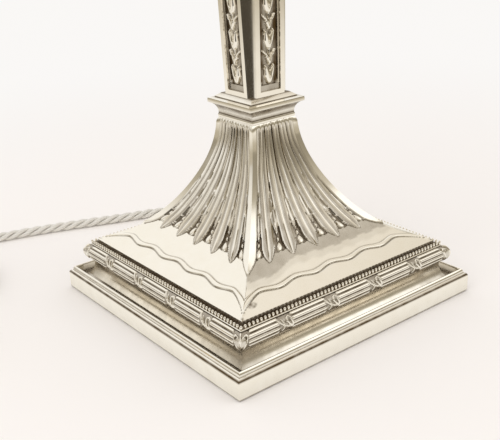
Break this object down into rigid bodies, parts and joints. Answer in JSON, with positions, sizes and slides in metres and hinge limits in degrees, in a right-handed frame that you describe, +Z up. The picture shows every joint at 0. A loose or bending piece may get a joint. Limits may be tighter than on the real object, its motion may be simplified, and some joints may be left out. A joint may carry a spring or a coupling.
{
  "type": "candlestick lamp",
  "caption": "Square candlestick table lamp with flared fluted foot, tapering chamfered column, leaf capital, bayonet lampholder, twisted braided flex and three-pin plug.",
  "frame": {"origin": "centre of the underside of the square base, on the surface that the lamp stands on", "axes": "+Z up the column, +X and +Y square to the sides of the base, flex leaving through the +Y side"},
  "size_m": [0.2936, 0.2689, 0.3911],
  "materials": {
    "silver": "hand-polished sterling silver, oxidised in the recesses",
    "brass": "polished and lacquered",
    "steel": "zinc plated",
    "wood": "plain mahogany board",
    "baize": "green wool baize",
    "plaster": "cast plaster filling",
    "ceramic": "glazed porcelain",
    "bakelite": "moulded brown phenolic",
    "rubber": "moulded grey rubber",
    "flex_braid": "braided twisted three-core lighting flex, silver grey",
    "plug_plastic": "moulded ivory plastic"
  },
  "bodies": {
    "lamp": {"plinth_casing": "silver", "cavetto_riser": "silver", "reeded_border": "silver", "ribbon_ties": "silver", "corner_leaves": "silver", "bead_border": "silver", "flared_foot": "silver", "neck_collar": "silver", "column_shell": "silver", "husk_drops": "silver", "capital_collar": "silver", "capital_bell": "silver", "capital_abacus": "silver", "candle_socket": "silver", "nozzle_pan": "silver", "nozzle_bead": "silver", "nozzle_cup": "silver", "cover_disc": "brass", "check_ring": "brass", "lampholder_cap": "brass", "lampholder_skirt": "brass", "retaining_ring": "brass", "tie_rod": "brass", "rod_nut": "brass", "switch_contacts": "brass", "plug_pins": "brass", "base_screws": "brass", "clamp_plate": "steel", "plunger_spring_left": "steel", "plunger_spring_right": "steel", "plug_screw": "steel", "base_board": "wood", "corner_blocks": "wood", "baize_pad": "baize", "loading_foot": "plaster", "loading_column": "plaster", "insulator_block": "ceramic", "plug_fuse": "ceramic", "flex_bush": "rubber", "plug_guard": "rubber", "inner_flex": "flex_braid", "flex_run": "flex_braid", "flex_coil": "flex_braid", "plug_cover": "plug_plastic", "plug_base": "plug_plastic"},
    "switch_bar": {"switch_bar": "bakelite"},
    "plunger_left": {"contact_plunger_left": "brass"},
    "plunger_right": {"contact_plunger_right": "brass"},
    "shade_ring": {"shade_ring": "brass"}
  },
  "joints": [
    {"name": "switch_push", "type": "slide", "parent": "lamp", "child": "switch_bar", "axis": [1, 0, 0], "range_m": [-0.006, 0]},
    {"name": "plunger_left_press", "type": "slide", "parent": "lamp", "child": "plunger_left", "axis": [0, 0, 1], "range_m": [-0.0025, 0], "stiffness_N_per_m": 300, "deforming": ["plunger_spring_left"]},
    {"name": "plunger_right_press", "type": "slide", "parent": "lamp", "child": "plunger_right", "axis": [0, 0, 1], "range_m": [-0.0025, 0], "stiffness_N_per_m": 300, "deforming": ["plunger_spring_right"]},
    {"name": "shade_ring_turn", "type": "hinge", "parent": "lamp", "child": "shade_ring", "pos_m": [0, 0, 0.37], "axis": [0, 0, 1], "continuous": true}
  ]
}
